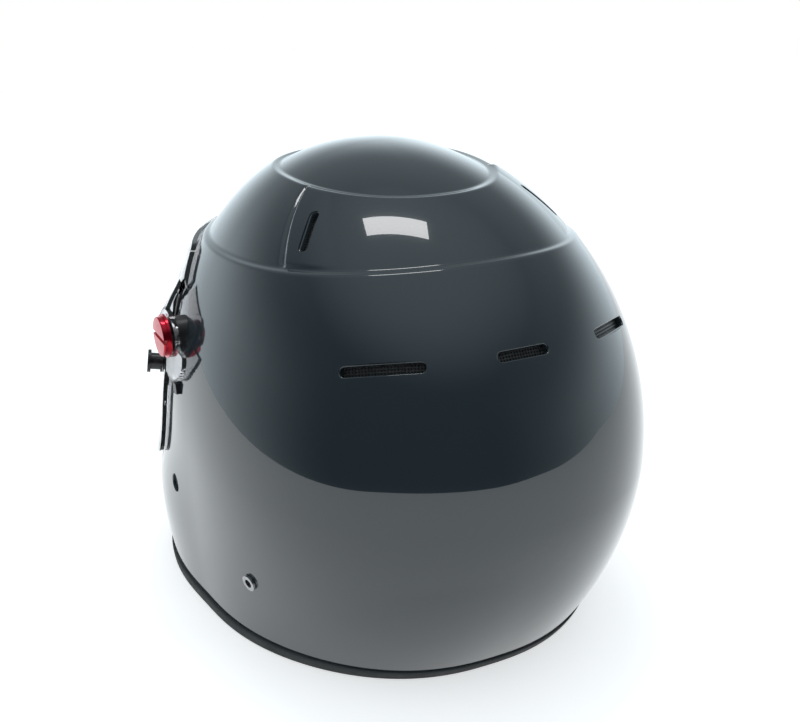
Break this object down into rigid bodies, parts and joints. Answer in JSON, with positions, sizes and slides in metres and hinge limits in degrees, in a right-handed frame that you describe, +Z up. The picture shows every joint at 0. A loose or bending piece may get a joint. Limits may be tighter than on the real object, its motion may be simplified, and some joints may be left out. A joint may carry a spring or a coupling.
{
  "type": "full face auto racing helmet",
  "caption": "Gloss full face racing helmet with a lift-up clear shield, screened vent slots, threaded restraint anchors, padded lining and a ring buckle chin strap.",
  "frame": {"origin": "middle of the overall box in plan, at the level of the bottom edge it stands on", "axes": "+X towards the wearer's left, -Y towards the face, +Z up to the crown"},
  "size_m": [0.2672, 0.333, 0.2648],
  "materials": {
    "black_plastic": "satin black",
    "black_rubber": "satin",
    "black_screw": "black oxide",
    "clear_shield": "clear polycarbonate",
    "liner_cloth": "knit over foam",
    "liner_foam": "bead foam",
    "plain_steel": "zinc plated",
    "red_anodised": "bright red anodised",
    "ring_steel": "polished",
    "screen_mesh": "fine black screen",
    "shell_gloss": "high gloss painted composite",
    "strap_webbing": "woven webbing",
    "washer_rubber": "matte"
  },
  "bodies": {
    "shell": {"anchor_insert_left": "plain_steel", "anchor_insert_right": "plain_steel", "anchor_plate_left": "plain_steel", "anchor_plate_right": "plain_steel", "anchor_washer_left": "washer_rubber", "anchor_washer_right": "washer_rubber", "cheek_pad_left": "liner_cloth", "cheek_pad_right": "liner_cloth", "cheek_studs_left": "black_plastic", "cheek_studs_right": "black_plastic", "chin_grille": "black_plastic", "chin_pad": "liner_cloth", "chin_screen": "screen_mesh", "chin_strap_long": "strap_webbing", "chin_strap_short": "strap_webbing", "comfort_liner": "liner_cloth", "crown_screen_left": "screen_mesh", "crown_screen_right": "screen_mesh", "detent_pawl_left": "black_plastic", "detent_pawl_right": "black_plastic", "edge_trim": "black_rubber", "eyeport_seal": "black_rubber", "impact_liner": "liner_foam", "neck_roll": "liner_cloth", "outer_shell": "shell_gloss", "pivot_base_left": "black_plastic", "pivot_base_right": "black_plastic", "pivot_bushing_left": "black_plastic", "pivot_bushing_right": "black_plastic", "pivot_cap_left": "red_anodised", "pivot_cap_right": "red_anodised", "pivot_nut_left": "plain_steel", "pivot_nut_right": "plain_steel", "pivot_washer_left": "washer_rubber", "pivot_washer_right": "washer_rubber", "rear_screen": "screen_mesh", "side_screen_left": "screen_mesh", "side_screen_right": "screen_mesh", "strap_rivet_left": "plain_steel", "strap_rivet_right": "plain_steel", "strap_stud": "ring_steel", "strap_tip": "black_plastic"},
    "shield": {"face_shield": "clear_shield", "post_screw_left": "black_screw", "post_screw_right": "black_screw", "tear_off_post_left": "black_plastic", "tear_off_post_right": "black_plastic"},
    "upper_ring": {"ring_upper": "ring_steel"},
    "lower_ring": {"ring_lower": "ring_steel"}
  },
  "joints": [
    {"name": "shield_lift", "type": "hinge", "parent": "shell", "child": "shield", "pos_m": [0, -0.02354, 0.1675], "axis": [-1, 0, 0], "range_deg": [0, 36]},
    {"name": "ring_upper_swing", "type": "hinge", "parent": "shell", "child": "upper_ring", "pos_m": [0.066, -0.02858, 0.0099], "axis": [0, 1, 0], "range_deg": [0, 40]},
    {"name": "ring_lower_swing", "type": "hinge", "parent": "shell", "child": "lower_ring", "pos_m": [0.066, -0.02858, 0.0053], "axis": [0, 1, 0], "range_deg": [0, 40]}
  ],
  "couplings": [
    {"joint": "ring_lower_swing", "follows": "ring_upper_swing", "ratio": 1}
  ]
}
